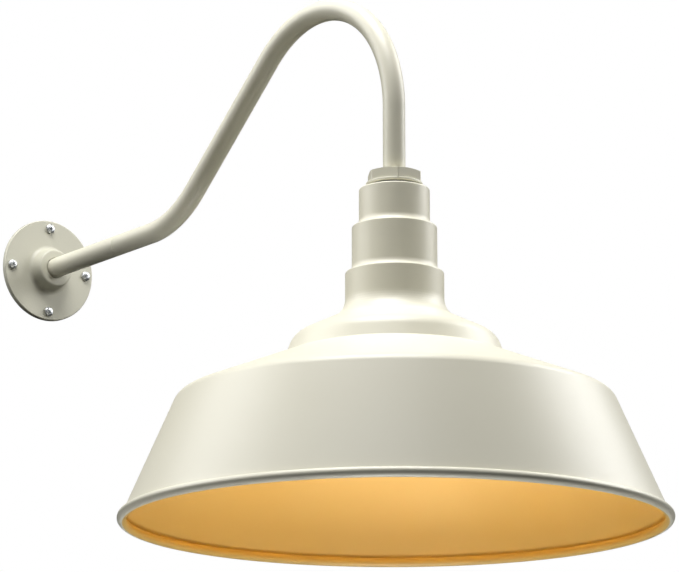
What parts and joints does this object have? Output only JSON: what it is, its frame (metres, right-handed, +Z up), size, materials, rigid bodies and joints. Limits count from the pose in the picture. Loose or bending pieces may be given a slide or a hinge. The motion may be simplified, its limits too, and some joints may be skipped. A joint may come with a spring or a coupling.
{
  "type": "outdoor wall lantern",
  "caption": "Barn-style wall light: a round cast wall plate, a bent gooseneck tube and a spun bell shade on a stepped neck, holding a screw-in bulb.",
  "frame": {"origin": "on the wall's surface, at the centre of the round wall plate, where the axis of the arm's first straight meets the wall", "axes": "+Z up; the wall is the plane Y = 0 and +Y points into it, so the arm and the shade stand out along -Y; +X to the right seen from in front"},
  "size_m": [0.4568, 0.7865, 0.4791],
  "materials": {
    "cream_paint": "satin cream powder coat",
    "gold_paint": "satin gold enamel on the inside of the shade",
    "zinc_steel": "bright zinc-plated steel",
    "green_steel": "green-dyed zinc plating",
    "gasket_rubber": "matt black EPDM sponge rubber",
    "porcelain": "glazed white porcelain",
    "brass": "plain brass, slightly dull",
    "nickel_brass": "nickel-plated brass",
    "black_glass": "black glass insulator",
    "white_plastic": "moulded white plastic",
    "opal_plastic": "opal white diffuser, satin",
    "board_aluminium": "aluminium-backed board",
    "black_insulation": "black wire insulation",
    "white_insulation": "white wire insulation"
  },
  "bodies": {
    "fixture": {"wall_gasket": "gasket_rubber", "wall_plate": "cream_paint", "mounting_screw_1": "zinc_steel", "mounting_screw_2": "zinc_steel", "mounting_screw_3": "zinc_steel", "mounting_screw_4": "zinc_steel", "arm_set_screw": "zinc_steel", "ground_screw": "green_steel", "arm_stub": "cream_paint", "joint_sleeve": "zinc_steel", "gooseneck_arm": "cream_paint", "hub_nut": "cream_paint", "hub_gasket": "gasket_rubber", "shade": "cream_paint", "neck_washer": "zinc_steel", "holder_strap": "zinc_steel", "neck_locknut": "zinc_steel", "lampholder": "porcelain", "strap_screw_live_side": "zinc_steel", "strap_screw_neutral_side": "zinc_steel", "terminal_screw_live": "brass", "terminal_screw_neutral": "brass", "screw_shell": "brass", "centre_contact": "brass", "lead_live": "black_insulation", "lead_neutral": "white_insulation"},
    "bulb_contact": {"bulb_tip": "nickel_brass"},
    "bulb": {"bulb_insulator": "black_glass", "bulb_cap": "nickel_brass", "bulb_housing": "white_plastic", "led_board": "board_aluminium", "bulb_globe": "opal_plastic"}
  },
  "joints": [
    {"name": "bulb_lower", "type": "slide", "parent": "fixture", "child": "bulb_contact", "axis": [0, 0, -1], "range_m": [0, 0.0182]},
    {"name": "bulb_unscrew", "type": "hinge", "parent": "bulb_contact", "child": "bulb", "pos_m": [0, -0.558, -0.1], "axis": [0, 0, -1], "range_deg": [0, 1800]}
  ],
  "couplings": [
    {"joint": "bulb_lower", "follows": "bulb_unscrew", "m_per_rad": 0.00057757}
  ]
}
